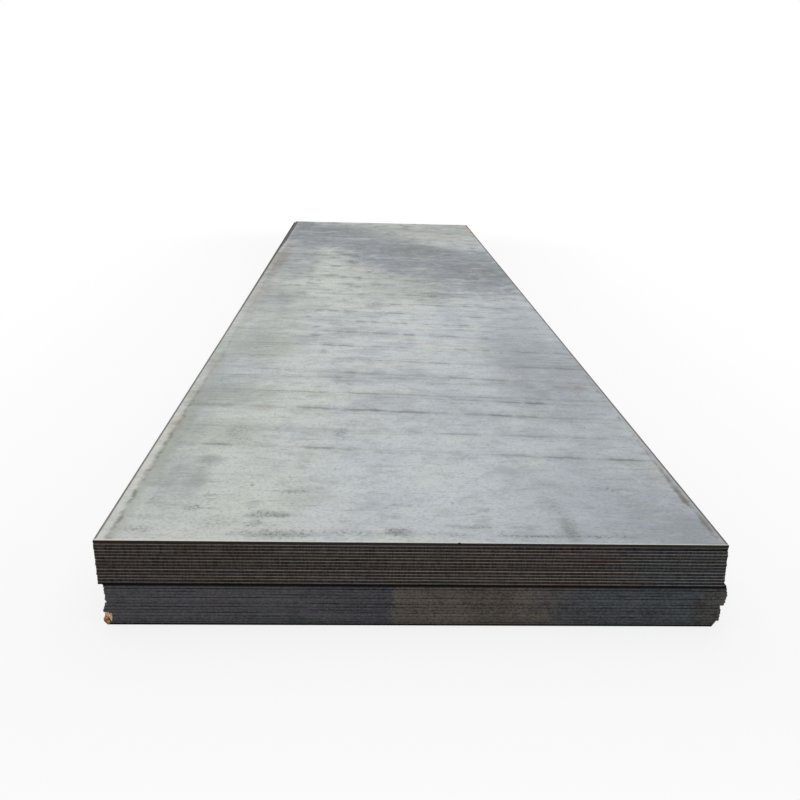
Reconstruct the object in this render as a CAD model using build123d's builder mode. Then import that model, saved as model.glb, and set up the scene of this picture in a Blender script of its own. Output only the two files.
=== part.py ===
from build123d import *

import os
from math import radians, sin
from typing import NamedTuple

# A stack of hot-rolled steel plates, lying flat in two packs, one pack on the other.
# X runs across the plates, Y along them and Z up. The front end is the one at -Y,
# and left and right are as seen from there. The origin is on the floor, under the
# middle of the upper pack. All sizes are in millimetres.

# One plate, as it is sold
PLATE_LENGTH = 6000.0
PLATE_WIDTH = 1500.0
PLATE_THICKNESS = 8.0

# Air between two plates that aren't dead flat
PLATE_GAP = 0.3

# Upper pack: sheared on all four sides. The blade pulls the top edge down into a
# small round, and the burr at the bottom edge is knocked off.
UPPER_COUNT = 14
SHEAR_ROLLOVER = 1.2
BURR_BREAK = 0.6

# The upper plates lie flush to about this much, sideways and endways. The steps are
# angles, in radians from one plate to the next, that make the wander look random.
UPPER_SIDE_WANDER = 0.5
UPPER_END_WANDER = 0.7
SIDE_WANDER_STEP = 2.4
END_WANDER_STEP = 1.7

# Each upper plate also lies this much further right than the one on it
UPPER_LEAN = 0.25

# The second plate lies a little turned about its front end, and shows at the left of
# the top one towards the far end. It is counted from the top plate, which is 0.
TURNED_PLATE = 1
PLATE_TURN = 0.17

# A small nick in the front edge of the top plate
NICK_TO_THE_RIGHT = 104.0
NICK_WIDTH = 9.0
NICK_DEPTH = 3.0

# Lower pack: its long sides are as they came off the mill, round and never sheared,
# with a flat left between the two rounds. Only its ends are cut.
MILL_EDGE_FLAT = 4.0
CUT_END_BREAK = 0.7

# The lower pack stands this far back from the upper pack's front end, and is
# turned a little, so that its front end lies to the right.
LOWER_SETBACK = 11.0
LOWER_TURN = 0.09


class Lay(NamedTuple):
    """How one plate of the lower pack differs from a plate that lies true."""

    wider: float
    to_the_right: float
    further_back: float
    left_knock: float = 0.0
    right_knock: float = 0.0


# The lower pack's plates, from the top one down. A mill edge leaves a plate a little
# wider than it is sold as. A knock is how far a front corner has been beaten off,
# across the plate.
LOWER_LAYS = [
    Lay(wider=6, to_the_right=8, further_back=0.0),
    Lay(wider=8, to_the_right=10, further_back=1.5),
    Lay(wider=8, to_the_right=11, further_back=-0.5),
    Lay(wider=10, to_the_right=12, further_back=1.0),
    Lay(wider=8, to_the_right=12, further_back=2.0),
    Lay(wider=7, to_the_right=11, further_back=0.5),
    Lay(wider=6, to_the_right=10, further_back=2.5, left_knock=4),
    Lay(wider=-2, to_the_right=5, further_back=1.5),
    Lay(wider=2, to_the_right=5, further_back=0.5),
    Lay(wider=6, to_the_right=4, further_back=2.0),
    Lay(wider=-10, to_the_right=11, further_back=1.0, left_knock=6),
    Lay(wider=8, to_the_right=1, further_back=0.0, left_knock=25),
    Lay(wider=9, to_the_right=-1, further_back=1.5, left_knock=26, right_knock=9),
    Lay(wider=7, to_the_right=-1, further_back=0.5, left_knock=14, right_knock=14),
]

# A beaten corner runs this much further along the plate than across it
KNOCK_LENGTHENING = 1.2

# Worked out from the sizes above
MILL_EDGE_RADIUS = (PLATE_THICKNESS - MILL_EDGE_FLAT) / 2
PLATE_PITCH = PLATE_THICKNESS + PLATE_GAP
PLATE_COUNT = UPPER_COUNT + len(LOWER_LAYS)


def underside(place_from_top):
    """Height of a plate's underside, counting plates from the top one, which is 0."""
    return (PLATE_COUNT - 1 - place_from_top) * PLATE_PITCH


def sheared_plate(lie, nicked=False):
    """A plate sheared on all four sides, with its underside centred on the plane lie."""
    with BuildPart() as plate:
        with BuildSketch(lie):
            Rectangle(PLATE_WIDTH, PLATE_LENGTH)
        extrude(amount=PLATE_THICKNESS)
        fillet(plate.faces().sort_by(Axis.Z)[-1].edges(), SHEAR_ROLLOVER)
        chamfer(plate.faces().sort_by(Axis.Z)[0].edges(), BURR_BREAK)
        if nicked:
            front = -PLATE_LENGTH / 2
            with BuildSketch(lie):
                Polygon(
                    (NICK_TO_THE_RIGHT - NICK_WIDTH / 2, front),
                    (NICK_TO_THE_RIGHT + NICK_WIDTH / 2, front),
                    (NICK_TO_THE_RIGHT, front + NICK_DEPTH),
                    align=None,
                )
            extrude(amount=PLATE_THICKNESS, mode=Mode.SUBTRACT)
    return plate.part


def mill_edge_plate(lie, lay):
    """A plate with rolled long sides, cut ends and perhaps beaten front corners."""
    half_width = (PLATE_WIDTH + lay.wider) / 2
    half_length = PLATE_LENGTH / 2
    front = Plane(
        origin=lie.from_local_coords((0, -half_length, PLATE_THICKNESS / 2)),
        x_dir=lie.x_dir,
        z_dir=-lie.y_dir,
    )
    with BuildPart() as plate:
        with BuildSketch(front) as section:
            Rectangle(2 * half_width, PLATE_THICKNESS)
            fillet(section.vertices(), MILL_EDGE_RADIUS)
        extrude(amount=-PLATE_LENGTH)
        ends = plate.faces().sort_by(Axis(lie.origin, lie.y_dir))
        chamfer(ends[0].edges() + ends[-1].edges(), CUT_END_BREAK)
        for side, knock in ((-1, lay.left_knock), (1, lay.right_knock)):
            if knock:
                corner = (side * half_width, -half_length)
                across = (side * (half_width - knock), -half_length)
                along = (side * half_width, -half_length + knock * KNOCK_LENGTHENING)
                with BuildSketch(lie):
                    Polygon(corner, across, along, align=None)
                extrude(amount=PLATE_THICKNESS, mode=Mode.SUBTRACT)
    return plate.part


def write_plate(plate, name):
    """Labels a finished plate and writes it to a file of its own."""
    plate.label = name
    export_step(plate, f"parts/{name}.step")


os.makedirs("parts", exist_ok=True)

for number in range(UPPER_COUNT):
    turn = PLATE_TURN if number == TURNED_PLATE else 0.0
    lie = Plane(
        origin=(
            UPPER_LEAN * number
            + UPPER_SIDE_WANDER * sin(SIDE_WANDER_STEP * number)
            - PLATE_LENGTH / 2 * sin(radians(turn)),
            UPPER_END_WANDER * sin(END_WANDER_STEP * number),
            underside(number),
        )
    ).rotated((0, 0, turn))
    write_plate(sheared_plate(lie, nicked=number == 0), f"upper_plate_{number + 1:02d}")

for number, lay in enumerate(LOWER_LAYS):
    lie = Plane(
        origin=(
            lay.to_the_right,
            LOWER_SETBACK + lay.further_back,
            underside(UPPER_COUNT + number),
        )
    ).rotated((0, 0, LOWER_TURN))
    write_plate(mill_edge_plate(lie, lay), f"lower_plate_{number + 1:02d}")
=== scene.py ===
import math

import bpy
from mathutils import Matrix, Vector


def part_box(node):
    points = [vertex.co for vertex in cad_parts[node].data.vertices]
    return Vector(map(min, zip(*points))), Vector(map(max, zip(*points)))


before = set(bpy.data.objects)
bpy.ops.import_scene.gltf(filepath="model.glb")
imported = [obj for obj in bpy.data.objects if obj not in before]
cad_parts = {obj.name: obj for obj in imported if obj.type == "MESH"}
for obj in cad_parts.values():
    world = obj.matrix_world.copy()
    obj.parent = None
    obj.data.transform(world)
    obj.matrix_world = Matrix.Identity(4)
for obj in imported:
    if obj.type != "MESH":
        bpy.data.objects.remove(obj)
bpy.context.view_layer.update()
bpy.ops.object.select_all(action="DESELECT")

# A stack of steel plates in two packs. X runs across the plates, Y along them with
# the front end at -Y, and Z up. Lengths are in metres.

upper_plates = sorted(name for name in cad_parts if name.startswith("upper_plate"))
lower_plates = sorted(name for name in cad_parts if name.startswith("lower_plate"))
top_low, top_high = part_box(upper_plates[0])
_, next_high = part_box(upper_plates[1])

HALF_WIDTH = (top_high.x - top_low.x) / 2
HALF_LENGTH = (top_high.y - top_low.y) / 2
TOP = top_high.z
PLATE_PITCH = top_high.z - next_high.z
PACK_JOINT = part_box(lower_plates[0])[1].z

# Camera, found by fitting the plates' outline to the picture: metres, angles, then
# the lens and the sensor in millimetres
CAMERA_BEFORE_FRONT = 1.858
CAMERA_ABOVE_TOP = 0.970
CAMERA_SIDEWAYS = -0.123
CAMERA_YAW = math.radians(2.39)
CAMERA_PITCH = math.radians(18.35)
CAMERA_ROLL = math.radians(1.58)
CAMERA_LENS = 39.645
CAMERA_SENSOR = 36.0
CAMERA_REACH = 500.0

# Light, and a floor that fades from shade to plain white away from the stack
SKY_STRENGTH = 0.46
OVERHEAD_POWER = 215.0
OVERHEAD_HEIGHT = 5.0
OVERHEAD_SIZE = (6.0, 9.0)
FLOOR_SIZE = 160.0
FLOOR_SHADE_SHARE = 0.18
FLOOR_SHADE_FROM = 0.1
FLOOR_SHADE_TO = 1.6


def srgb(red, green, blue):
    """A colour picked as 0 to 255 on screen, as the linear values that shaders take."""
    channels = []
    for value in (red, green, blue):
        value /= 255
        if value <= 0.04045:
            channels.append(value / 12.92)
        else:
            channels.append(((value + 0.055) / 1.055) ** 2.4)
    return (*channels, 1.0)


WHITE = (1, 1, 1, 1)
FLOOR_GREY = srgb(238, 238, 238)

# The mix node's sockets for colours: two inputs and the output
MIX_FIRST = 6
MIX_SECOND = 7
MIX_RESULT = 2


class Recipe:
    """Adds nodes to a material's or a group's tree, in short calls."""

    def __init__(self, tree):
        self.tree = tree

    def feed(self, socket, value):
        """Sets a socket, or links it where the value is another node's output."""
        if isinstance(value, bpy.types.NodeSocket):
            self.tree.links.new(value, socket)
        else:
            socket.default_value = value

    def node(self, kind, inputs=(), **settings):
        """A new node with its inputs, in their order, and its settings."""
        made = self.tree.nodes.new(kind)
        for name, value in settings.items():
            setattr(made, name, value)
        for place, value in enumerate(inputs):
            self.feed(made.inputs[place], value)
        return made

    def math(self, operation, *values):
        return self.node("ShaderNodeMath", values, operation=operation).outputs[0]

    def times(self, first, second):
        return self.math("MULTIPLY", first, second)

    def plus(self, first, second):
        return self.math("ADD", first, second)

    def minus(self, first, second):
        return self.math("SUBTRACT", first, second)

    def most(self, first, second):
        return self.math("MAXIMUM", first, second)

    def swing(self, noise, width):
        """How far a noise is off its middle, as a share of the width, to either side."""
        return self.times(self.minus(noise, 0.5), width)

    def vector(self, operation, *values):
        return self.node("ShaderNodeVectorMath", values, operation=operation).outputs[0]

    def moved(self, place, step):
        return self.vector("ADD", place, step)

    def stretched(self, place, factors):
        return self.vector("MULTIPLY", place, factors)

    def length(self, vector):
        made = self.node("ShaderNodeVectorMath", (vector,), operation="LENGTH")
        return made.outputs["Value"]

    def parts(self, vector):
        made = self.node("ShaderNodeSeparateXYZ", (vector,))
        return made.outputs[0], made.outputs[1], made.outputs[2]

    def together(self, x, y, z):
        return self.node("ShaderNodeCombineXYZ", (x, y, z)).outputs[0]

    def spread(self, value, low, high, to_low=0.0, to_high=1.0, smooth=True):
        """Goes from to_low to to_high while the value goes from low to high."""
        made = self.node("ShaderNodeMapRange", (value, low, high, to_low, to_high))
        made.interpolation_type = "SMOOTHSTEP" if smooth else "LINEAR"
        return made.outputs[0]

    def until(self, value, low, high):
        """1 up to the low value, and from there down to 0 at the high one."""
        return self.spread(value, high, low)

    def between(self, value, rise, fall):
        """0, then 1, then 0 again. The rise and the fall are given as (from, to)."""
        return self.times(self.spread(value, *rise), self.until(value, *fall))

    def noise(self, vector, scale, detail=3.0, roughness=0.55, distortion=0.0):
        made = self.node("ShaderNodeTexNoise")
        self.feed(made.inputs["Vector"], vector)
        self.feed(made.inputs["Scale"], scale)
        self.feed(made.inputs["Detail"], detail)
        self.feed(made.inputs["Roughness"], roughness)
        self.feed(made.inputs["Distortion"], distortion)
        return made.outputs["Fac"]

    def blend(self, factor, first, second):
        """The first colour where the factor is 0, and the second where it is 1."""
        made = self.node("ShaderNodeMix", data_type="RGBA")
        self.feed(made.inputs["Factor"], factor)
        self.feed(made.inputs[MIX_FIRST], first)
        self.feed(made.inputs[MIX_SECOND], second)
        return made.outputs[MIX_RESULT]

    def layer(self, under, over, mask, strength=None):
        """A colour laid over another, as far as a mask and its strength go."""
        if strength is not None:
            mask = self.times(mask, strength)
        return self.blend(mask, under, over)

    def ramp(self, value, stops):
        """Follows stops that are given as (place from 0 to 1, strength)."""
        made = self.node("ShaderNodeValToRGB", (value,))
        scale = made.color_ramp
        scale.interpolation = "EASE"
        while len(scale.elements) < len(stops):
            scale.elements.new(1.0)
        for element, (place, strength) in zip(scale.elements, stops):
            element.position = place
            element.color = (1, 1, 1, strength)
        return made.outputs["Alpha"]


def make_camera():
    """The camera stands before the front end, looking along the plates and down."""
    data = bpy.data.cameras.new("camera")
    data.lens = CAMERA_LENS
    data.sensor_width = CAMERA_SENSOR
    data.clip_end = CAMERA_REACH
    camera = bpy.data.objects.new("camera", data)
    bpy.context.scene.collection.objects.link(camera)
    place = Vector(
        (CAMERA_SIDEWAYS, -HALF_LENGTH - CAMERA_BEFORE_FRONT, TOP + CAMERA_ABOVE_TOP)
    )
    turn = (
        Matrix.Rotation(-CAMERA_YAW, 4, "Z")
        @ Matrix.Rotation(math.pi / 2 - CAMERA_PITCH, 4, "X")
        @ Matrix.Rotation(CAMERA_ROLL, 4, "Z")
    )
    camera.matrix_world = Matrix.Translation(place) @ turn
    bpy.context.scene.camera = camera


def seen_directly(recipe):
    """1 for what the camera, a mirror-like surface or glass sees, and 0 for light."""
    path = recipe.node("ShaderNodeLightPath")
    seen = recipe.most(path.outputs["Is Camera Ray"], path.outputs["Is Glossy Ray"])
    return recipe.most(seen, path.outputs["Is Transmission Ray"])


def make_sky():
    """An even white sky that lights softly and is plain white to look at."""
    world = bpy.data.worlds.new("studio")
    bpy.context.scene.world = world
    world.use_nodes = True
    recipe = Recipe(world.node_tree)
    world.node_tree.nodes.clear()
    light = recipe.node("ShaderNodeBackground", (WHITE, SKY_STRENGTH)).outputs[0]
    white = recipe.node("ShaderNodeBackground", (WHITE, 1.0)).outputs[0]
    either = recipe.node("ShaderNodeMixShader", (seen_directly(recipe), light, white))
    recipe.node("ShaderNodeOutputWorld", (either.outputs[0],))


def make_floor():
    """A wide pale floor: plain white away from the stack, with its soft shadow near it."""
    bpy.ops.mesh.primitive_plane_add(size=FLOOR_SIZE, location=(0, 0, 0))
    floor = bpy.context.object
    floor.name = "studio_floor"
    material = bpy.data.materials.new("studio floor")
    material.use_nodes = True
    material.node_tree.nodes.clear()
    recipe = Recipe(material.node_tree)
    matt = recipe.node("ShaderNodeBsdfDiffuse", (FLOOR_GREY,)).outputs[0]
    white = recipe.node("ShaderNodeEmission", (WHITE, 1.0)).outputs[0]
    place = recipe.node("ShaderNodeTexCoord").outputs["Object"]
    beside = recipe.vector("ABSOLUTE", place)
    beside = recipe.vector("SUBTRACT", beside, (HALF_WIDTH, HALF_LENGTH, 0))
    beside = recipe.vector("MAXIMUM", beside, (0, 0, 0))
    away = recipe.length(beside)
    plain = recipe.spread(away, FLOOR_SHADE_FROM, FLOOR_SHADE_TO, 1 - FLOOR_SHADE_SHARE, 1.0)
    share = recipe.times(seen_directly(recipe), plain)
    either = recipe.node("ShaderNodeMixShader", (share, matt, white))
    recipe.node("ShaderNodeOutputMaterial", (either.outputs[0],))
    floor.data.materials.append(material)
    bpy.ops.object.select_all(action="DESELECT")


def make_overhead_light():
    """One large soft lamp over the stack."""
    data = bpy.data.lights.new("overhead", "AREA")
    data.shape = "RECTANGLE"
    data.size, data.size_y = OVERHEAD_SIZE
    data.energy = OVERHEAD_POWER
    lamp = bpy.data.objects.new("overhead", data)
    bpy.context.scene.collection.objects.link(lamp)
    lamp.location = (0, 0, OVERHEAD_HEIGHT)


# Kinds of socket on a group
VECTOR = "NodeSocketVector"
COLOUR = "NodeSocketColor"
FLOAT = "NodeSocketFloat"


def group(name, inputs, outputs, kind=FLOAT):
    """A new shader node group: the recipe for its inside, its inputs and its outputs."""
    tree = bpy.data.node_groups.new(name, "ShaderNodeTree")
    for label, input_kind, value in inputs:
        socket = tree.interface.new_socket(name=label, in_out="INPUT", socket_type=input_kind)
        socket.default_value = value
    for label in outputs:
        tree.interface.new_socket(name=label, in_out="OUTPUT", socket_type=kind)
    recipe = Recipe(tree)
    return recipe, recipe.node("NodeGroupInput").outputs, recipe.node("NodeGroupOutput").inputs


def make_mottle():
    """Cloudy patches, smaller patches and a fine grain, each around a middle of 0.5."""
    recipe, given, made = group(
        "mill scale mottle",
        [("Place", VECTOR, (0, 0, 0)), ("Clouds per metre", FLOAT, 9.0)],
        ["Clouds", "Patches", "Grain"],
    )
    place, fineness = given[0], given[1]
    clouds = recipe.noise(place, fineness, detail=5.0, roughness=0.6)
    recipe.feed(made[0], recipe.spread(clouds, 0.3, 0.7))
    shifted = recipe.moved(place, (7.3, 2.9, 4.1))
    finer = recipe.times(fineness, 3.1)
    patches = recipe.noise(shifted, finer, detail=4.0, roughness=0.65, distortion=0.2)
    recipe.feed(made[1], recipe.spread(patches, 0.33, 0.68))
    finest = recipe.times(fineness, 22.0)
    grain = recipe.noise(place, finest, detail=3.0)
    recipe.feed(made[2], recipe.spread(grain, 0.28, 0.72))
    return recipe.tree


def make_stain():
    """A soft patch with a ragged rim, lying flat, as a mask."""
    recipe, given, made = group(
        "ragged stain",
        [
            ("Place", VECTOR, (0, 0, 0)),
            ("Tatter", FLOAT, 0.5),
            ("Centre", VECTOR, (0, 0, 0)),
            ("Half size", VECTOR, (1, 1, 1)),
            ("Softness", FLOAT, 0.5),
            ("Raggedness", FLOAT, 1.0),
        ],
        ["Mask"],
    )
    place, tatter, centre, half, softness, ragged = given[:6]
    off = recipe.vector("DIVIDE", recipe.vector("SUBTRACT", place, centre), half)
    reach = recipe.plus(recipe.length(off), recipe.swing(tatter, ragged))
    inside = recipe.minus(1.0, softness)
    outside = recipe.plus(1.0, softness)
    recipe.feed(made[0], recipe.spread(reach, inside, outside, 1.0, 0.0))
    return recipe.tree


def make_streak():
    """A dark line that runs across the plate, wavering and frayed, as a mask."""
    recipe, given, made = group(
        "roll streak",
        [
            ("Place", VECTOR, (0, 0, 0)),
            ("Fray", FLOAT, 0.5),
            ("Distance", FLOAT, 1.0),
            ("Slope", FLOAT, 0.0),
            ("Half thickness", FLOAT, 0.01),
            ("Waver", FLOAT, 0.03),
        ],
        ["Mask"],
    )
    place, fray, distance, slope, half, waver = given[:6]
    x, y, _ = recipe.parts(place)
    along = recipe.plus(x, recipe.times(distance, 7.7))
    swing = recipe.noise(recipe.together(along, 0.0, 0.0), 5.0, roughness=0.6)
    line = recipe.plus(distance, recipe.times(slope, x))
    line = recipe.plus(line, recipe.swing(swing, waver))
    off = recipe.math("ABSOLUTE", recipe.minus(y, line))
    off = recipe.times(off, recipe.spread(fray, 0.3, 0.75, 0.55, 2.1))
    body = recipe.spread(off, 0.0, half, 1.0, 0.0)
    halo = recipe.spread(off, 0.0, recipe.times(half, 3.2), 0.3, 0.0)
    recipe.feed(made[0], recipe.most(body, halo))
    return recipe.tree


def make_plate_rim():
    """On a stacked plate's edge: its top line, its foot, and a tone of its own."""
    recipe, given, made = group(
        "stacked plate rim",
        [
            ("Place", VECTOR, (0, 0, 0)),
            ("Line from", FLOAT, 0.62),
            ("Line to", FLOAT, 0.78),
        ],
        ["Top line", "Foot", "Own tone", "Wide foot"],
    )
    place, low, high = given[:3]
    layers = recipe.math("DIVIDE", recipe.parts(place)[2], PLATE_PITCH)
    up = recipe.math("FRACT", layers)
    number = recipe.math("FLOOR", layers)
    recipe.feed(made[0], recipe.spread(up, low, high))
    recipe.feed(made[1], recipe.spread(up, 0.03, 0.24, 1.0, 0.0))
    own = recipe.node("ShaderNodeTexWhiteNoise", noise_dimensions="1D")
    recipe.feed(own.inputs["W"], recipe.plus(number, 0.5))
    recipe.feed(made[2], own.outputs["Value"])
    recipe.feed(made[3], recipe.spread(up, 0.10, 0.45, 1.0, 0.0))
    return recipe.tree


# The finishes: clouds of mottle a metre, depth of the relief in metres, metal, gloss
TOP_CLOUDS = 4.5
TOP_RELIEF = 0.0006
TOP_METAL = 0.15
TOP_GLOSS = 0.22
EDGE_CLOUDS = 8.0
EDGE_RELIEF = 0.0004
EDGE_METAL = 0.2
EDGE_GLOSS = 0.04
BUMP_STRENGTH = 0.5


def start_steel(name):
    """An empty steel: its recipe, its shader, the place and the facing of a point."""
    material = bpy.data.materials.new(name)
    material.use_nodes = True
    recipe = Recipe(material.node_tree)
    shader = material.node_tree.nodes["Principled BSDF"]
    coordinates = recipe.node("ShaderNodeTexCoord")
    return material, recipe, shader, coordinates.outputs["Object"], coordinates.outputs["Normal"]


def use(recipe, tree, **values):
    """Puts a group into a material. A name's underscores stand for spaces."""
    made = recipe.node("ShaderNodeGroup", node_tree=tree)
    for name, value in values.items():
        recipe.feed(made.inputs[name.replace("_", " ")], value)
    return made.outputs


def finish_steel(recipe, shader, colour, roughness, height, relief, metal, gloss):
    """Joins colour, roughness and a fine relief to a steel's shader."""
    recipe.feed(shader.inputs["Base Color"], colour)
    recipe.feed(shader.inputs["Roughness"], roughness)
    shader.inputs["Metallic"].default_value = metal
    shader.inputs["Specular IOR Level"].default_value = gloss
    bump = recipe.node("ShaderNodeBump")
    bump.inputs["Strength"].default_value = BUMP_STRENGTH
    bump.inputs["Distance"].default_value = relief
    recipe.feed(bump.inputs["Height"], height)
    recipe.feed(shader.inputs["Normal"], bump.outputs[0])


# Colours of the top plate: pale, partly their own colour and partly painted sheen
PALE_GREY = srgb(194, 198, 198)
GREENISH = srgb(196, 201, 191)
BLUISH = srgb(165, 171, 178)
BLUE_GREY = srgb(131, 137, 144)
DULL_GREEN = srgb(158, 164, 155)
PALE_BLUE = srgb(196, 202, 206)
SOOT = srgb(104, 108, 106)
NEAR_BLACK = srgb(72, 76, 75)
STREAK_DARK = srgb(94, 98, 96)
BEIGE = srgb(178, 173, 158)
PALE_WORN = srgb(206, 203, 194)
DULL_BLUE = srgb(132, 139, 141)
RIM_SHADE = srgb(74, 66, 64)
RIM_SHADOW_BLACK = srgb(22, 20, 26)
BROWN_SPOT = srgb(104, 94, 86)
OLD_RUST = srgb(122, 92, 70)
DULL_RUST = srgb(112, 102, 92)
FRESH_RUST = srgb(226, 172, 104)
DARK_RUST = srgb(76, 48, 38)
BARE_METAL = srgb(216, 206, 192)
TORN_SHADED_BLACK = srgb(20, 18, 18)
TORN_SHADED_DARK = srgb(38, 34, 32)
RIGHT_GREY = srgb(184, 190, 194)

# Patches on the top plate: centre to the right, distance from the front end, half
# width, half length, softness, raggedness, strength, colour
TOP_STAINS = [
    (-0.52, 0.50, 0.26, 0.80, 0.5, 1.4, 0.55, GREENISH),
    (0.56, 0.12, 0.30, 0.40, 0.5, 1.2, 0.85, BLUISH),
    (0.62, 0.13, 0.10, 0.15, 0.6, 1.2, 0.45, BLUE_GREY),
    (0.70, 0.06, 0.07, 0.14, 0.6, 1.2, 0.50, BLUE_GREY),
    (-0.70, 0.78, 0.030, 0.42, 0.6, 1.6, 0.55, srgb(140, 142, 132)),
    (-0.69, 1.20, 0.045, 0.30, 0.6, 1.6, 0.50, DULL_GREEN),
    (0.42, 0.80, 0.50, 0.75, 0.6, 1.4, 0.35, BLUISH),
    (0.02, 0.42, 0.30, 0.36, 0.6, 1.2, 0.45, PALE_BLUE),
    (-0.655, 0.78, 0.035, 0.55, 0.7, 1.6, 0.28, BLUE_GREY),
    (-0.61, 0.36, 0.05, 0.18, 0.7, 1.6, 0.24, BLUE_GREY),
    (-0.575, 0.37, 0.030, 0.060, 0.8, 1.8, 0.34, SOOT),
    (-0.56, 0.50, 0.032, 0.030, 0.8, 1.8, 0.40, SOOT),
    (-0.36, 0.70, 0.05, 0.20, 0.7, 1.0, 0.40, PALE_BLUE),
    (0.57, 1.50, 0.20, 0.60, 0.5, 1.3, 0.62, BLUE_GREY),
    (0.64, 0.98, 0.12, 0.22, 0.5, 1.3, 0.55, BLUISH),
    (-0.60, 1.12, 0.15, 0.14, 0.5, 1.4, 0.75, DULL_GREEN),
    (-0.58, 0.74, 0.12, 0.12, 0.6, 1.4, 0.50, DULL_GREEN),
    (-0.62, 1.78, 0.22, 0.26, 0.5, 1.4, 0.70, DULL_GREEN),
    (-0.66, 1.40, 0.10, 0.30, 0.6, 1.4, 0.45, BLUISH),
    (0.02, 1.19, 0.09, 0.06, 0.6, 1.2, 0.35, GREENISH),
    (0.26, 1.42, 0.13, 0.12, 0.6, 1.0, 0.50, PALE_BLUE),
    (-0.12, 1.36, 0.14, 0.12, 0.6, 1.4, 0.30, BLUISH),
    (0.15, 2.30, 0.30, 0.35, 0.6, 1.3, 0.40, PALE_BLUE),
    (-0.54, 2.50, 0.13, 0.65, 0.7, 1.6, 0.45, DULL_GREEN),
    (-0.61, 2.86, 0.09, 0.22, 0.7, 1.6, 0.30, SOOT),
    (0.30, 2.55, 0.05, 0.50, 0.7, 1.4, 0.40, BLUISH),
    (0.24, 2.92, 0.07, 0.20, 0.8, 2.4, 0.40, SOOT),
    (0.07, 2.96, 0.20, 0.16, 0.8, 2.4, 0.40, SOOT),
    (0.62, 2.20, 0.12, 0.70, 0.6, 1.2, 0.45, BLUISH),
    (-0.10, 2.80, 0.35, 0.35, 0.6, 1.4, 0.40, GREENISH),
    (-0.44, 3.70, 0.24, 0.85, 0.5, 1.3, 0.65, GREENISH),
    (0.18, 3.42, 0.22, 0.20, 0.6, 1.4, 0.55, DULL_GREEN),
    (0.24, 4.20, 0.50, 0.62, 0.35, 1.5, 0.95, BLUE_GREY),
    (0.52, 3.60, 0.34, 0.62, 0.35, 1.5, 0.95, BLUE_GREY),
    (-0.02, 4.80, 0.34, 0.50, 0.4, 1.5, 0.85, BLUE_GREY),
    (0.14, 3.82, 0.26, 0.26, 0.5, 1.7, 0.60, BLUE_GREY),
    (0.54, 3.28, 0.20, 0.20, 0.5, 1.7, 0.55, BLUE_GREY),
    (-0.42, 5.25, 0.42, 0.60, 0.35, 1.5, 0.95, BLUE_GREY),
    (0.26, 4.45, 0.30, 0.24, 0.6, 1.5, 0.50, SOOT),
    (0.56, 3.75, 0.18, 0.30, 0.6, 1.5, 0.40, SOOT),
    (-0.45, 5.35, 0.20, 0.26, 0.6, 1.5, 0.40, SOOT),
    (-0.20, 3.75, 0.10, 0.20, 0.6, 1.4, 0.40, DULL_GREEN),
    (0.40, 5.35, 0.45, 0.50, 0.5, 1.5, 0.50, srgb(172, 174, 162)),
    (0.00, 5.70, 0.34, 0.25, 0.5, 1.5, 0.60, srgb(170, 172, 160)),
    (0.55, 4.75, 0.16, 0.30, 0.6, 1.4, 0.45, PALE_GREY),
    (-0.66, 5.80, 0.10, 0.30, 0.5, 1.2, 0.70, SOOT),
    (-0.60, 4.30, 0.16, 1.20, 0.6, 1.5, 0.60, BLUE_GREY),
    (0.742, 5.72, 0.020, 0.30, 0.5, 1.6, 0.85, FRESH_RUST),
    (0.66, 5.965, 0.09, 0.03, 0.5, 1.6, 0.80, srgb(204, 128, 84)),
    (0.66, 1.24, 0.030, 0.035, 0.8, 1.8, 0.28, OLD_RUST),
    (-0.715, 1.51, 0.025, 0.10, 0.8, 1.8, 0.40, OLD_RUST),
    (-0.722, 0.77, 0.018, 0.08, 0.8, 1.8, 0.50, OLD_RUST),
    (-0.715, 1.05, 0.022, 0.12, 0.8, 1.8, 0.30, OLD_RUST),
    (-0.70, 2.90, 0.035, 0.45, 0.8, 1.8, 0.35, OLD_RUST),
    (-0.69, 2.75, 0.045, 0.55, 0.6, 1.8, 0.60, DULL_GREEN),
    (-0.69, 3.95, 0.050, 0.60, 0.6, 1.8, 0.60, srgb(140, 138, 130)),
    (0.08, 3.20, 0.30, 0.35, 0.6, 1.8, 0.30, DULL_GREEN),
    (-0.70, 3.90, 0.035, 0.45, 0.8, 1.8, 0.40, OLD_RUST),
    (-0.47, 0.96, 0.035, 0.04, 0.6, 1.2, 0.25, OLD_RUST),
    (-0.28, 0.25, 0.06, 0.06, 0.6, 1.4, 0.45, DULL_GREEN),
    (0.382, 0.070, 0.018, 0.055, 0.8, 1.5, 0.50, SOOT),
    (-0.047, 0.048, 0.022, 0.014, 0.8, 1.8, 0.45, SOOT),
    (-0.30, 0.034, 0.09, 0.009, 0.8, 2.2, 0.35, SOOT),
    (-0.33, 0.140, 0.05, 0.010, 0.8, 2.2, 0.30, SOOT),
    (0.730, 0.31, 0.010, 0.070, 0.5, 2.6, 0.85, BROWN_SPOT),
    (0.736, 0.13, 0.007, 0.050, 0.5, 2.6, 0.60, BROWN_SPOT),
    (0.705, 0.44, 0.015, 0.060, 0.7, 1.6, 0.40, BEIGE),
]

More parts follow.
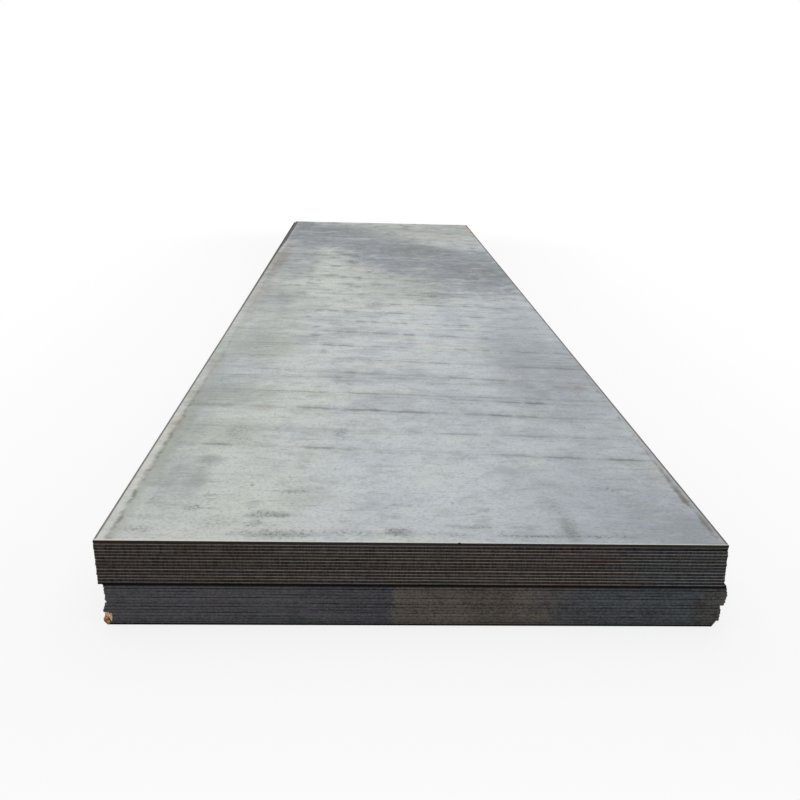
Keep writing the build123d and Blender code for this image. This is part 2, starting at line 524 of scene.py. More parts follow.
# Scuffed places on the top plate, broken up into specks: centre to the right, distance
# from the front end, half width, half length, strength
TOP_SCUFFS = [
    (-0.33, 0.042, 0.10, 0.022, 0.75),
    (-0.16, 0.050, 0.07, 0.018, 0.55),
    (-0.04, 0.055, 0.035, 0.020, 0.95),
    (0.08, 0.045, 0.05, 0.012, 0.50),
    (0.295, 0.038, 0.09, 0.007, 1.00),
    (0.46, 0.040, 0.07, 0.010, 0.80),
    (0.385, 0.10, 0.022, 0.08, 0.45),
    (0.372, 0.20, 0.018, 0.05, 0.40),
    (0.145, 0.084, 0.045, 0.009, 0.85),
    (-0.555, 0.18, 0.022, 0.018, 0.80),
    (-0.38, 0.150, 0.030, 0.020, 0.80),
    (-0.335, 0.143, 0.030, 0.014, 0.80),
    (-0.39, 0.09, 0.025, 0.016, 0.70),
    (-0.31, 0.285, 0.045, 0.010, 0.80),
    (-0.66, 0.22, 0.020, 0.030, 0.50),
    (-0.67, 0.06, 0.040, 0.015, 0.60),
    (-0.48, 0.10, 0.050, 0.040, 0.40),
    (0.55, 0.32, 0.05, 0.02, 0.35),
    (0.18, 0.53, 0.03, 0.02, 0.40),
    (-0.20, 0.73, 0.02, 0.025, 0.60),
    (-0.49, 0.66, 0.03, 0.05, 0.40),
    (-0.52, 0.74, 0.03, 0.05, 0.40),
    (-0.23, 1.31, 0.02, 0.06, 0.55),
    (-0.40, 2.32, 0.012, 0.025, 0.80),
    (-0.35, 2.125, 0.014, 0.020, 0.90),
    (-0.35, 1.965, 0.025, 0.016, 1.00),
    (-0.30, 1.70, 0.016, 0.035, 0.80),
    (-0.53, 2.37, 0.035, 0.020, 0.60),
    (0.08, 3.88, 0.022, 0.040, 1.00),
    (0.30, 3.88, 0.022, 0.040, 0.90),
    (0.49, 3.40, 0.030, 0.030, 0.80),
    (-0.12, 4.74, 0.03, 0.04, 0.70),
]

# Strips along the top plate's long sides, and the rims of painted shade outside them: widths in
# metres near the front end and at the far end, and how far a strip's border wavers
LEFT_STRIP_NEAR = 0.022
LEFT_STRIP_FAR = 0.036
RIGHT_STRIP = 0.010
LEFT_STRIP_PALE = srgb(208, 209, 198)
RIGHT_STRIP_PALE = srgb(160, 160, 154)
STRIP_WAVER = 0.036
STRIP_FRAY = 0.007
RIM_NEAR = 0.0052
RIM_FAR = 0.011
BLACK_RIM_WIDER = 0.009

# How dark a row of dashes is between its dashes, from 0 to 1
FAINT_ROW = 0.2

# A dash is full to this share of its half width, and gone beyond the second one
DASH_FULL = 0.4
DASH_GONE = 1.4

# Rows nearer than this to the front end are thicker, and the others thinner
NEAR_ROWS = 1.5
NEAR_ROW_THICKNESS = 1.35
FAR_ROW_THICKNESS = 0.85

SCUFF_SOFTNESS = 0.7
SCUFF_RAGGEDNESS = 1.2

# Rows of dark dashes that the rolls left across the top plate: distance from the front
# end, slope, half thickness, then the dashes as (middle, half width, strength)
TOP_STREAKS = [
    (0.580, -0.075, 0.015, [(-0.565, 0.05, 0.75), (-0.26, 0.05, 0.75), (-0.18, 0.03, 0.45),
                            (0.02, 0.05, 0.30), (0.15, 0.03, 0.35), (0.33, 0.07, 0.50),
                            (0.47, 0.07, 0.70), (0.65, 0.06, 0.80)]),
    (0.745, -0.065, 0.015, [(-0.19, 0.02, 0.45), (-0.10, 0.05, 0.30), (0.03, 0.04, 0.30),
                            (0.19, 0.08, 0.45), (0.39, 0.10, 0.50), (0.55, 0.03, 0.45),
                            (0.62, 0.03, 0.50)]),
    (0.940, -0.085, 0.021, [(-0.60, 0.06, 0.35), (-0.47, 0.05, 0.35), (-0.29, 0.07, 0.75),
                            (-0.12, 0.08, 0.80), (0.03, 0.08, 0.75), (0.13, 0.03, 0.50),
                            (0.25, 0.05, 0.55), (0.33, 0.05, 0.80), (0.42, 0.05, 0.60),
                            (0.56, 0.04, 0.30)]),
    (1.125, -0.060, 0.015, [(-0.46, 0.06, 0.45), (-0.32, 0.08, 0.55), (-0.13, 0.08, 0.55),
                            (0.04, 0.09, 0.45), (0.17, 0.04, 0.35), (0.33, 0.07, 0.45),
                            (0.47, 0.05, 0.30)]),
    (1.092, -0.095, 0.015, [(0.21, 0.03, 0.45), (0.38, 0.05, 0.65), (0.47, 0.04, 0.90)]),
    (1.275, -0.060, 0.013, [(-0.02, 0.08, 0.30), (0.15, 0.06, 0.30), (0.30, 0.10, 0.30),
                            (0.60, 0.03, 0.40)]),
    (1.325, -0.010, 0.015, [(-0.27, 0.04, 0.40), (-0.02, 0.09, 0.40)]),
    (1.368, -0.120, 0.018, [(-0.49, 0.05, 0.50), (-0.18, 0.03, 0.70), (-0.09, 0.06, 0.50),
                            (0.05, 0.10, 0.35), (0.24, 0.06, 0.65), (0.36, 0.07, 0.50)]),
    (1.560, -0.110, 0.021, [(-0.53, 0.05, 0.40), (-0.24, 0.02, 0.40), (-0.18, 0.02, 0.45),
                            (-0.12, 0.02, 0.45), (-0.07, 0.02, 0.55), (0.06, 0.06, 0.60),
                            (0.17, 0.05, 0.70), (0.34, 0.05, 0.45), (0.55, 0.08, 0.60),
                            (0.67, 0.04, 0.90)]),
    (1.775, -0.080, 0.022, [(-0.28, 0.04, 0.90), (-0.21, 0.04, 0.90), (-0.08, 0.03, 0.55),
                            (0.02, 0.05, 0.30), (0.28, 0.03, 0.75), (0.385, 0.02, 0.70),
                            (0.56, 0.06, 0.60), (0.685, 0.02, 0.50)]),
    (2.010, -0.120, 0.024, [(-0.55, 0.08, 0.30), (-0.245, 0.02, 0.60), (-0.19, 0.03, 0.75),
                            (-0.13, 0.03, 0.50), (-0.06, 0.04, 0.70), (0.01, 0.02, 0.65),
                            (0.07, 0.03, 0.90), (0.25, 0.05, 0.70), (0.405, 0.02, 0.65)]),
    (2.225, -0.110, 0.024, [(-0.21, 0.02, 0.45), (-0.15, 0.03, 0.60), (-0.085, 0.02, 0.80),
                            (0.01, 0.015, 0.70), (0.055, 0.02, 0.70), (0.16, 0.015, 0.40),
                            (0.21, 0.015, 0.50), (0.255, 0.015, 0.50), (0.335, 0.03, 0.65),
                            (0.44, 0.04, 0.45), (0.525, 0.02, 0.35)]),
    (2.430, -0.130, 0.027, [(-0.365, 0.03, 0.35), (-0.285, 0.03, 0.75), (-0.20, 0.04, 0.75),
                            (0.02, 0.06, 0.80), (0.105, 0.03, 0.45), (0.21, 0.012, 0.65),
                            (0.42, 0.05, 0.75), (0.565, 0.04, 0.35)]),
    (2.640, -0.080, 0.030, [(0.03, 0.04, 0.65), (0.115, 0.02, 0.45), (0.25, 0.02, 0.60),
                            (0.395, 0.03, 0.55), (0.59, 0.12, 0.45), (-0.55, 0.04, 0.35)]),
    (2.890, -0.090, 0.033, [(0.01, 0.04, 0.50), (0.14, 0.07, 0.65), (0.235, 0.03, 0.90),
                            (0.40, 0.04, 0.70), (0.46, 0.03, 0.45), (0.57, 0.08, 0.50)]),
    (3.330, -0.080, 0.039, [(0.12, 0.06, 0.35), (0.30, 0.05, 0.35), (-0.15, 0.06, 0.30)]),
    (3.530, -0.080, 0.042, [(-0.02, 0.07, 0.45), (0.25, 0.10, 0.50), (0.55, 0.08, 0.35)]),
    (3.750, -0.080, 0.045, [(0.42, 0.06, 0.40), (0.62, 0.08, 0.45)]),
    (4.500, -0.060, 0.045, [(-0.28, 0.06, 0.55), (0.05, 0.05, 0.40)]),
    (5.500, -0.060, 0.045, [(-0.10, 0.06, 0.40), (0.35, 0.15, 0.35)]),
]


def dashes_across(recipe, across, dashes):
    """How dark a row's dashes are at a place across the plate, from 0 to 1."""
    total = FAINT_ROW
    dashes = sorted(dashes)
    for every_other in (dashes[0::2], dashes[1::2]):
        stops = []
        for middle, half, strength in every_other:
            edges = (-DASH_GONE, -DASH_FULL, DASH_FULL, DASH_GONE)
            for edge, value in zip(edges, (0, strength, strength, 0)):
                place = 0.5 + (middle + edge * half) / (2 * HALF_WIDTH)
                stops.append((min(max(place, 0.0), 1.0), value))
        total = recipe.most(total, recipe.ramp(across, stops))
    return total


def patch(recipe, place, tatter, lie, softness, raggedness):
    """One ragged stain as a mask. Its lie is its centre and its half size, x and y."""
    right, near, half_x, half_y = lie
    return use(
        recipe,
        stain,
        Place=place,
        Tatter=tatter,
        Centre=(right, near, 0.0),
        Half_size=(half_x, half_y, 1.0),
        Softness=softness,
        Raggedness=raggedness,
    )[0]


def make_scuffs():
    """Every scuffed place on the top plate, as one soft mask."""
    recipe, given, made = group(
        "scuffed places",
        [("Place", VECTOR, (0, 0, 0)), ("Tatter", FLOAT, 0.5)],
        ["Mask"],
    )
    place, tatter = given[:2]
    total = 0.0
    for *lie, strength in TOP_SCUFFS:
        mask = patch(recipe, place, tatter, lie, SCUFF_SOFTNESS, SCUFF_RAGGEDNESS)
        total = recipe.most(total, recipe.times(mask, strength))
    recipe.feed(made[0], total)
    return recipe.tree


def make_stain_layers():
    """Every patch on the top plate, laid one over the other on a colour."""
    recipe, given, made = group(
        "stain layers",
        [("Place", VECTOR, (0, 0, 0)), ("Tatter", FLOAT, 0.5), ("Colour", COLOUR, PALE_GREY)],
        ["Colour"],
        kind=COLOUR,
    )
    place, tatter, colour = given[:3]
    for *lie, softness, raggedness, strength, tint in TOP_STAINS:
        mask = patch(recipe, place, tatter, lie, softness, raggedness)
        colour = recipe.layer(colour, tint, mask, strength)
    recipe.feed(made[0], colour)
    return recipe.tree


def make_streak_rows():
    """Every row of dashes on the top plate, as one mask."""
    recipe, given, made = group(
        "streak rows",
        [("Place", VECTOR, (0, 0, 0)), ("Fray", FLOAT, 0.5)],
        ["Darkness"],
    )
    place, fray = given[:2]
    across = recipe.spread(recipe.parts(place)[0], -HALF_WIDTH, HALF_WIDTH, smooth=False)
    dark = 0.0
    for row, slope, half, dashes in TOP_STREAKS:
        thickness = NEAR_ROW_THICKNESS if row < NEAR_ROWS else FAR_ROW_THICKNESS
        line = use(
            recipe,
            streak,
            Place=place,
            Fray=fray,
            Distance=row,
            Slope=slope,
            Half_thickness=half * thickness,
        )[0]
        line = recipe.times(line, dashes_across(recipe, across, dashes))
        dark = recipe.most(dark, line)
    recipe.feed(made[0], dark)
    return recipe.tree


def lay_mottling(recipe, colour, flat, distance, tatter, patches, grain):
    """Mottling on the top plate, with pale and dark drifts that lie across it."""
    drift = recipe.stretched(flat, (1.6, 4.2, 1.0))
    drift = recipe.noise(drift, 1.0, detail=6.0, roughness=0.66)
    further = recipe.spread(distance, 0.6, 3.6, 0.35, 1.0)
    deep = recipe.times(recipe.spread(drift, 0.5, 0.3), further)
    colour = recipe.layer(colour, DULL_BLUE, deep, 0.75)
    high = recipe.times(recipe.spread(drift, 0.52, 0.72), further)
    colour = recipe.layer(colour, PALE_WORN, high, 0.6)
    colour = recipe.layer(colour, DULL_BLUE, recipe.spread(patches, 0.5, 0.0, 0, 0.3))
    colour = recipe.layer(colour, PALE_BLUE, recipe.spread(patches, 0.55, 1.0, 0, 0.25))
    lace = recipe.math("ABSOLUTE", recipe.minus(tatter, 0.5))
    lace = recipe.spread(lace, 0.0, 0.02, 0.14, 0.0)
    colour = recipe.layer(colour, DULL_BLUE, lace)
    colour = recipe.layer(colour, SOOT, recipe.spread(grain, 0.5, 0.0, 0, 0.24))
    brushed = recipe.stretched(flat, (9.0, 42.0, 1.0))
    brushed = recipe.noise(brushed, 1.0, detail=4.0, roughness=0.75)
    colour = recipe.layer(colour, SOOT, recipe.spread(brushed, 0.48, 0.3, 0, 0.34))
    colour = recipe.layer(colour, PALE_WORN, recipe.spread(brushed, 0.54, 0.72, 0, 0.3))
    return colour


def lay_fine_lines(recipe, colour, flat, x, distance):
    """Fine lines that the rolls left on the top plate, from side to side."""
    slanting = recipe.plus(distance, recipe.times(x, 0.08))
    lines = recipe.stretched(recipe.together(x, slanting, 0.0), (1.3, 17.0, 1.0))
    lines = recipe.noise(lines, 1.6, detail=5.0, roughness=0.62)
    lines = recipe.spread(lines, 0.44, 0.30)
    lines = recipe.times(lines, recipe.spread(distance, 0.5, 2.2, 0.2, 1.0))
    colour = recipe.layer(colour, SOOT, lines, 0.55)
    far_lines = recipe.stretched(flat, (8.0, 7.5, 1.0))
    far_lines = recipe.noise(far_lines, 1.0, detail=5.0, roughness=0.75)
    far = recipe.spread(distance, 1.6, 3.6, 0.15, 1.0)
    below = recipe.times(recipe.spread(far_lines, 0.5, 0.34), far)
    colour = recipe.layer(colour, SOOT, below, 0.66)
    above = recipe.times(recipe.spread(far_lines, 0.54, 0.7), far)
    colour = recipe.layer(colour, GREENISH, above, 0.4)
    return colour


def lay_scuffs(recipe, colour, flat, tatter):
    """The top plate's scuffed places, and specks all over it."""
    broken = recipe.noise(flat, 95.0, detail=4.0, roughness=0.75, distortion=0.3)
    scuffed = use(recipe, make_scuffs(), Place=flat, Tatter=tatter)[0]
    colour = recipe.layer(colour, SOOT, scuffed, 0.22)
    broken = recipe.plus(broken, recipe.times(scuffed, 0.1))
    scuffed = recipe.times(recipe.spread(scuffed, 0.0, 0.5), recipe.spread(broken, 0.52, 0.74))
    colour = recipe.layer(colour, NEAR_BLACK, scuffed, 0.62)
    specks = recipe.noise(recipe.moved(flat, (3.1, 8.2, 0.0)), 30.0, detail=4.0)
    specks = recipe.spread(specks, 0.64, 0.74)
    colour = recipe.layer(colour, SOOT, specks, 0.45)
    return colour


def lay_long_sides(recipe, colour, flat, x, distance, tatter, fray):
    """Along each long side a pale strip, a rusty line inside it and a rim of painted shade."""
    from_left = recipe.plus(x, HALF_WIDTH)
    from_right = recipe.minus(HALF_WIDTH, x)
    waver = recipe.plus(recipe.swing(tatter, STRIP_WAVER), recipe.swing(fray, STRIP_FRAY))
    dirt = recipe.spread(recipe.noise(flat, 14.0, detail=5.0, roughness=0.7), 0.42, 0.60)
    nearer = recipe.spread(distance, 0.5, 2.0, 1.0, 0.25)
    # Widths of the rims of painted shade, black near the far left end
    rim = recipe.spread(distance, 0.0, 6.0, RIM_NEAR, RIM_FAR, smooth=False)
    black_shade_rim = recipe.plus(rim, recipe.spread(distance, 4.3, 4.9, 0.0, BLACK_RIM_WIDER))
    black_shade_tone = recipe.blend(recipe.spread(distance, 3.4, 4.9), RIM_SHADE, RIM_SHADOW_BLACK)
    left_strip = recipe.spread(distance, 0.2, 1.8, LEFT_STRIP_NEAR, LEFT_STRIP_FAR)
    sides = (
        (from_left, left_strip, 0.62, LEFT_STRIP_PALE, black_shade_rim, black_shade_tone),
        (from_right, RIGHT_STRIP, 0.55, RIGHT_STRIP_PALE, rim, RIM_SHADE),
    )
    for side, strip, strength, tint, shade_rim_width, shade_rim_tone in sides:
        reach = recipe.minus(recipe.plus(side, waver), strip)
        # Only the left side has a dull green band within its strip
        if side is from_left:
            inside = recipe.spread(reach, 0.0, 0.01, 0.0, 0.55)
            inside = recipe.times(inside, recipe.spread(reach, 0.012, 0.05, 1.0, 0.0))
            colour = recipe.layer(colour, DULL_GREEN, inside, nearer)
        pale = recipe.spread(reach, -0.006, 0.012, strength, 0.0)
        pale = recipe.times(pale, recipe.spread(dirt, 0.0, 1.0, 1.0, 0.35))
        colour = recipe.layer(colour, tint, pale, nearer)
        inner = recipe.math("ABSOLUTE", recipe.minus(reach, 0.009))
        inner = recipe.times(recipe.spread(inner, 0.0, 0.01, 0.7, 0.0), dirt)
        colour = recipe.layer(colour, DULL_RUST, inner, nearer)
        # A thin rim of painted shade right along each edge
        outer_shade = recipe.spread(recipe.minus(side, shade_rim_width), -0.001, 0.002, 0.8, 0.0)
        colour = recipe.layer(colour, shade_rim_tone, outer_shade)
    return colour


def lay_worn_front(recipe, colour, x, distance, tatter):
    """Bare worn metal along the top plate's front edge."""
    worn = recipe.spread(tatter, 0.25, 0.75, 0.001, 0.004)
    worn = recipe.plus(worn, recipe.spread(x, -0.75, -0.1, 0.004, 0.0))
    worn = recipe.spread(recipe.minus(distance, worn), 0.0, 0.003, 0.7, 0.0)
    bare = recipe.blend(recipe.spread(x, -0.6, 0.1), BARE_METAL, PALE_WORN)
    colour = recipe.layer(colour, bare, worn)
    return colour


def make_weathered_top():
    """The top plate: pale weathered mill scale whose paleness is partly painted sheen, streaked,
    stained and worn at its rim.
    """
    material, recipe, shader, place, facing = start_steel("weathered top")
    x, y, _ = recipe.parts(place)
    distance = recipe.plus(y, HALF_LENGTH)
    flat = recipe.together(x, distance, 0.0)
    spots = use(recipe, mottle, Place=place, Clouds_per_metre=TOP_CLOUDS)
    clouds, patches, grain = spots[:3]
    tatter = recipe.noise(flat, 11.0, detail=5.0, roughness=0.62)
    fray = recipe.noise(flat, 42.0, detail=3.0, roughness=0.7)

    colour = recipe.blend(recipe.spread(x, -0.5, 0.6), PALE_GREY, RIGHT_GREY)
    colour = recipe.layer(colour, GREENISH, recipe.spread(clouds, 0.55, 1.0, 0, 0.6))
    colour = recipe.layer(colour, BLUISH, recipe.spread(clouds, 0.5, 0.0, 0, 0.65))
    colour = use(recipe, make_stain_layers(), Place=flat, Tatter=tatter, Colour=colour)[0]
    colour = lay_mottling(recipe, colour, flat, distance, tatter, patches, grain)
    colour = lay_fine_lines(recipe, colour, flat, x, distance)
    dark = use(recipe, make_streak_rows(), Place=flat, Fray=fray)[0]
    colour = recipe.layer(colour, STREAK_DARK, dark, 0.8)
    colour = lay_scuffs(recipe, colour, flat, tatter)
    colour = lay_long_sides(recipe, colour, flat, x, distance, tatter, fray)
    colour = lay_worn_front(recipe, colour, x, distance, tatter)

    # Cut edges: dark, partly their own colour and partly painted shade, with rust in them
    side_tone_and_shade = recipe.blend(clouds, TORN_SHADED_BLACK, TORN_SHADED_DARK)
    side_tone_and_shade = recipe.layer(side_tone_and_shade, DARK_RUST, recipe.spread(patches, 0.7, 1.0, 0, 0.25))
    facing_up = recipe.spread(recipe.parts(facing)[2], 0.35, 0.75)
    colour = recipe.blend(facing_up, side_tone_and_shade, colour)

    roughness = recipe.spread(patches, 0.0, 1.0, 0.58, 0.74)
    roughness = recipe.plus(roughness, recipe.times(dark, 0.12))
    height = recipe.plus(grain, recipe.times(patches, 0.6))
    finish_steel(recipe, shader, colour, roughness, height, TOP_RELIEF, TOP_METAL, TOP_GLOSS)
    return material


# Which way the face of a beaten right corner looks, across and along the plate
KNOCK_ACROSS = 0.77
KNOCK_FORWARD = -0.64


def knocked_corners(recipe, facing):
    """1 on the faces where a front corner was beaten off, on the left and on the right."""
    masks = []
    for side in (-1, 1):
        outward = (side * KNOCK_ACROSS, KNOCK_FORWARD, 0)
        alike = recipe.node("ShaderNodeVectorMath", (facing, outward), operation="DOT_PRODUCT")
        masks.append(recipe.spread(alike.outputs["Value"], 0.9, 0.97))
    return masks


# Colours of the plates' edges: the faces dark, partly their own colour and partly painted shade;
# the line tones pale, partly worn metal and partly painted highlight
WARM_DARK = srgb(32, 28, 26)
WARM_LINE = srgb(140, 132, 123)
REDDISH_LINE = srgb(126, 104, 100)
GREENISH_LINE = srgb(112, 114, 100)
COOL_DARK = srgb(34, 36, 39)
COOL_LINE = srgb(128, 133, 137)
BROWN_FACE = srgb(112, 104, 96)
COOL_FACE = srgb(84, 90, 96)
BLUE_FACE = srgb(92, 87, 93)
TAN_RUST_HIGHLIGHT = srgb(244, 216, 176)
GAP_SHADE = srgb(12, 11, 10)
PALE_FLECK = srgb(186, 178, 164)
MAUVE_FACE = srgb(100, 86, 100)
GREEN_FACE = srgb(84, 90, 84)
OLIVE_FACE = srgb(76, 74, 68)
INK_SHADE = srgb(40, 46, 58)
ORANGE_RUST = srgb(150, 88, 50)

# How far above the meeting of the two packs, and under it, the painted shadow there fades out
ABOVE_JOINT = (0.0035, 0.005)
UNDER_JOINT = (0.0125, 0.0085)

# Where the lower pack's front turns brown, where that fades out, and where the olive
# of its right end begins, across the plates
SEAM = (-0.060, -0.040)
BROWN_FADES = (0.24, 0.44)
RIGHT_END = (0.68, 0.73)
SEAM_FRAY = 0.022
ZONE_FRAY = 0.06

# Tan rust, partly painted highlight, on the beaten left corners: the heights over which it
# starts, and those over which it ends, for the lowest plates and for the seventh plate from the
# top
LOW_RUST = ((0.001, 0.004), (0.026, 0.032))
SEVENTH_RUST = ((0.053, 0.056), (0.062, 0.065))

# Tan rust, partly painted highlight, that wraps round onto the front of the lowest plate:
# its height, its inner end across the plates and how far it runs along them
WRAP_HEIGHT = (0.0085, 0.0110)
WRAP_END = (-0.7320, -0.7285)
WRAP_DEPTH = (0.03 - HALF_LENGTH, 0.05 - HALF_LENGTH)


def make_upper_pack_steel():
    """Sheared edges: each has a pale line along its top, partly worn metal and partly painted
    highlight, over a dark torn face that is partly painted shade.
    """
    material, recipe, shader, place, facing = start_steel("upper pack steel")
    x, y, z = recipe.parts(place)
    spots = use(recipe, mottle, Place=place, Clouds_per_metre=EDGE_CLOUDS)
    clouds, patches, grain = spots[:3]
    edge = use(recipe, plate_rim, Place=place, Line_from=0.60, Line_to=0.80)
    top_line, foot, own_tone = edge[:3]
    shifted = recipe.together(x, recipe.plus(y, own_tone), 0.0)
    cool = recipe.noise(shifted, 3.0, detail=3.0)
    cool = recipe.plus(cool, recipe.spread(x, 0.4, 0.62, 0.0, 0.35))
    cool = recipe.spread(cool, 0.55, 0.75)
    # The torn face: dark, partly its own colour and partly painted shade
    face = recipe.blend(cool, WARM_DARK, COOL_DARK)
    line = recipe.blend(cool, WARM_LINE, COOL_LINE)
    tinge = recipe.noise(recipe.moved(shifted, (5.0, 3.0, 1.0)), 6.0, detail=2.0)
    line = recipe.layer(line, REDDISH_LINE, recipe.spread(tinge, 0.55, 0.68, 0, 0.7))
    line = recipe.layer(line, GREENISH_LINE, recipe.spread(tinge, 0.45, 0.32, 0, 0.7))
    # Tear marks of the shear stand upright in the face
    tears = recipe.noise(recipe.stretched(place, (1.0, 1.0, 0.12)), 260.0, detail=3.0)
    tears = recipe.spread(tears, 0.3, 0.7)
    face = recipe.layer(face, BROWN_FACE, tears, 0.35)
    # The pale line along each plate's top: partly worn metal, partly a painted highlight on the
    # rounded edge
    worn = recipe.stretched(place, (1.0, 1.0, 6.0))
    worn = recipe.noise(worn, 45.0, detail=5.0, roughness=0.7)
    worn = recipe.spread(worn, 0.30, 0.62, 0.5, 1.0)
    wear_and_highlight = recipe.times(top_line, worn)
    wear_and_highlight = recipe.times(wear_and_highlight, recipe.spread(own_tone, 0.0, 1.0, 0.6, 1.05))
    wear_and_highlight = recipe.times(wear_and_highlight, recipe.spread(x, -0.7, 0.0, 0.84, 1.08))
    colour = recipe.blend(wear_and_highlight, face, line)
    flecks = recipe.noise(recipe.stretched(place, (1.0, 1.0, 3.0)), 130.0, detail=2.0)
    flecks = recipe.times(recipe.spread(flecks, 0.7, 0.76), top_line)
    colour = recipe.layer(colour, PALE_FLECK, flecks, 0.6)
    # Painted shade at each plate's foot, where it meets the plate below
    colour = recipe.layer(colour, GAP_SHADE, foot, 0.8)
    # Painted shadow along the foot of the upper pack
    over_joint = recipe.minus(z, PACK_JOINT)
    colour = recipe.layer(colour, GAP_SHADE, recipe.spread(over_joint, *ABOVE_JOINT, 0.95, 0.0))
    rusty = recipe.times(recipe.spread(clouds, 0.62, 1.0), recipe.spread(patches, 0.3, 0.9))
    colour = recipe.layer(colour, DARK_RUST, rusty, 0.32)
    colour = recipe.layer(colour, WARM_DARK, recipe.spread(grain, 0.5, 0.0, 0, 0.15))
    # Painted shade on upward faces, which lie between the plates
    upward = recipe.spread(recipe.parts(facing)[2], 0.9, 0.99)
    colour = recipe.layer(colour, GAP_SHADE, upward, 0.9)
    roughness = recipe.spread(wear_and_highlight, 0.0, 1.0, 0.72, 0.5)
    height = recipe.plus(recipe.times(tears, 0.7), grain)
    finish_steel(recipe, shader, colour, roughness, height, EDGE_RELIEF, EDGE_METAL, EDGE_GLOSS)
    return material


def brown_share(recipe, x, y, patches, grain):
    """How brown the lower pack is, from 0 to 1, where it isn't blue-grey.

    It turns brown at the seam, just left of the middle, and fades out to the right. The
    brown comes back at the right end, and it is weaker towards the back of the stack.
    """
    ragged = recipe.swing(patches, ZONE_FRAY)
    across = recipe.plus(x, ragged)
    seam = recipe.plus(x, recipe.swing(grain, SEAM_FRAY))
    seam = recipe.plus(seam, recipe.times(ragged, 0.2))
    brown = recipe.spread(seam, *SEAM)
    brown = recipe.times(brown, recipe.spread(across, *BROWN_FADES, 1.0, 0.1))
    brown = recipe.times(brown, recipe.spread(y, 1.0, 0.0, 0.3, 1.0))
    return recipe.most(brown, recipe.spread(across, *RIGHT_END, 0.0, 0.7))


def lay_corner_rust(recipe, colour, place, facing, patches, grain):
    """Rust on beaten corners: tan low on the left and on the seventh plate, turning pale higher
    up as a painted highlight, else dark.
    """
    x, y, z = recipe.parts(place)
    left_knock, right_knock = knocked_corners(recipe, facing)
    low = recipe.between(z, *LOW_RUST)
    seventh = recipe.between(z, *SEVENTH_RUST)
    tan = recipe.times(left_knock, recipe.most(low, seventh))
    wrapped = recipe.times(recipe.until(z, *WRAP_HEIGHT), recipe.until(x, *WRAP_END))
    wrapped = recipe.times(wrapped, recipe.until(y, *WRAP_DEPTH))
    tan = recipe.most(tan, wrapped)
    # Orange rust low down, turning to a pale tan higher up that is partly painted highlight
    rust_and_highlight = recipe.plus(z, recipe.swing(patches, 0.012))
    rust_and_highlight = recipe.blend(recipe.spread(rust_and_highlight, 0.003, 0.014), ORANGE_RUST, TAN_RUST_HIGHLIGHT)
    corner_tone = recipe.blend(tan, DARK_RUST, rust_and_highlight)
    corner_tone = recipe.layer(corner_tone, OLD_RUST, recipe.spread(grain, 0.45, 0.1, 0, 0.7))
    beaten = recipe.most(recipe.most(left_knock, right_knock), wrapped)
    return recipe.layer(colour, corner_tone, beaten)


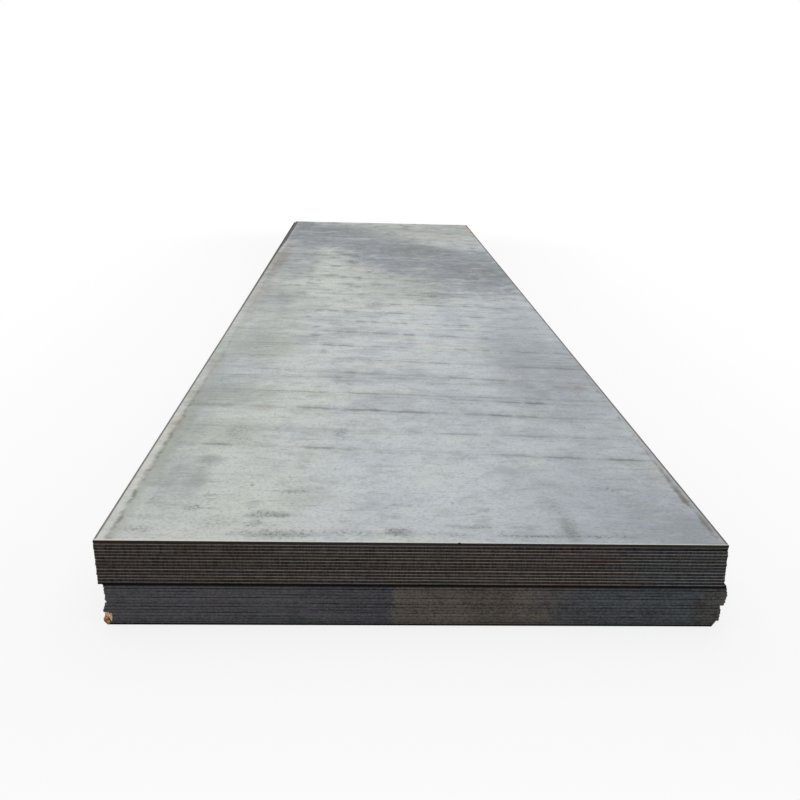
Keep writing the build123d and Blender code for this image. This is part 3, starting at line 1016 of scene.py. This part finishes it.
def make_lower_pack_steel():
    """Duller edges that run together, blue-grey and brown by turns, rusty corners."""
    material, recipe, shader, place, facing = start_steel("lower pack steel")
    x, y, z = recipe.parts(place)
    spots = use(recipe, mottle, Place=place, Clouds_per_metre=EDGE_CLOUDS)
    clouds, patches, grain = spots[:3]
    edge = use(recipe, plate_rim, Place=place, Line_from=0.62, Line_to=0.9)
    top_line, own_tone, foot = edge[0], edge[2], edge[3]
    brown = brown_share(recipe, x, y, patches, grain)
    blue = recipe.blend(recipe.spread(x, 0.2, 0.45), BLUE_FACE, COOL_FACE)
    tinge = recipe.noise(recipe.stretched(place, (1.0, 1.0, 3.0)), 6.0, detail=3.0)
    blue = recipe.layer(blue, MAUVE_FACE, recipe.spread(tinge, 0.55, 0.68, 0, 0.6))
    blue = recipe.layer(blue, GREEN_FACE, recipe.spread(tinge, 0.45, 0.32, 0, 0.6))
    earthy = recipe.blend(recipe.spread(x, 0.56, 0.70), BROWN_FACE, OLIVE_FACE)
    colour = recipe.blend(brown, blue, earthy)
    # Darker just left of the seam
    shade = recipe.spread(x, -0.24, -0.07, 0.0, 0.34)
    shade = recipe.times(shade, recipe.spread(x, 0.1, 0.4, 1.0, 0.6))
    shade = recipe.times(shade, recipe.minus(1.0, brown))
    colour = recipe.layer(colour, INK_SHADE, shade)
    colour = recipe.layer(colour, COOL_DARK, recipe.spread(clouds, 0.5, 0.0, 0, 0.3))
    colour = recipe.layer(colour, COOL_DARK, recipe.spread(own_tone, 0.0, 1.0, 0.0, 0.25))
    # Marks of the cut lie level, in a paler tone, among dark and pale specks
    pale = recipe.blend(brown, COOL_LINE, WARM_LINE)
    drag = recipe.noise(recipe.stretched(place, (0.3, 0.3, 1.0)), 300.0, detail=3.0)
    drag = recipe.spread(drag, 0.3, 0.7)
    colour = recipe.layer(colour, pale, drag, 0.3)
    rough = recipe.spread(brown, 0.0, 1.0, 0.26, 0.45)
    colour = recipe.layer(colour, COOL_DARK, recipe.spread(grain, 0.5, 0.1), rough)
    colour = recipe.layer(colour, pale, recipe.spread(grain, 0.6, 1.0, 0, 0.2))
    # Each plate's top line as a faint painted highlight, and painted shade at its foot, both
    # broken up
    lone = recipe.together(x, y, recipe.times(own_tone, 9.0))
    broken = recipe.spread(recipe.noise(lone, 7.0, detail=4.0), 0.4, 0.66)
    faint_highlight = recipe.times(recipe.times(top_line, broken), 0.26)
    colour = recipe.layer(colour, pale, faint_highlight)
    open_seam = recipe.moved(lone, (4.0, 2.0, 1.5))
    open_seam = recipe.noise(open_seam, 4.0, detail=5.0, roughness=0.7)
    gap_shade = recipe.times(foot, recipe.spread(open_seam, 0.45, 0.62, 0.1, 1.0))
    gap_shade = recipe.times(gap_shade, recipe.spread(own_tone, 0.1, 0.9, 0.45, 1.0))
    gap_shade = recipe.times(gap_shade, recipe.spread(brown, 0.0, 1.0, 0.9, 0.5))
    colour = recipe.layer(colour, GAP_SHADE, gap_shade)
    # Painted shadow: the upper pack stands out over the front end and shades its top, and a
    # painted contact shadow runs along the bottom
    under_joint = recipe.minus(PACK_JOINT, z)
    joint_shadow = recipe.spread(under_joint, *UNDER_JOINT, 0.0, 0.97)
    joint_shadow = recipe.times(joint_shadow, recipe.spread(recipe.parts(facing)[1], -0.5, -0.9))
    ground_shadow = recipe.spread(z, 0.003, 0.008, 0.95, 0.0)
    colour = recipe.layer(colour, GAP_SHADE, recipe.most(joint_shadow, ground_shadow))
    colour = lay_corner_rust(recipe, colour, place, facing, patches, grain)
    roughness = recipe.spread(patches, 0.0, 1.0, 0.6, 0.78)
    height = recipe.plus(recipe.times(drag, 0.7), grain)
    finish_steel(recipe, shader, colour, roughness, height, EDGE_RELIEF, EDGE_METAL, EDGE_GLOSS)
    return material


def dress(names, material):
    """Gives every slot of the named plates one material."""
    for name in names:
        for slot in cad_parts[name].material_slots:
            slot.link = "OBJECT"
            slot.material = material


make_camera()
make_sky()
make_floor()
make_overhead_light()

mottle = make_mottle()
stain = make_stain()
streak = make_streak()
plate_rim = make_plate_rim()
dress(upper_plates[:1], make_weathered_top())
dress(upper_plates[1:], make_upper_pack_steel())
dress(lower_plates, make_lower_pack_steel())

bpy.context.scene.view_settings.view_transform = "Standard"
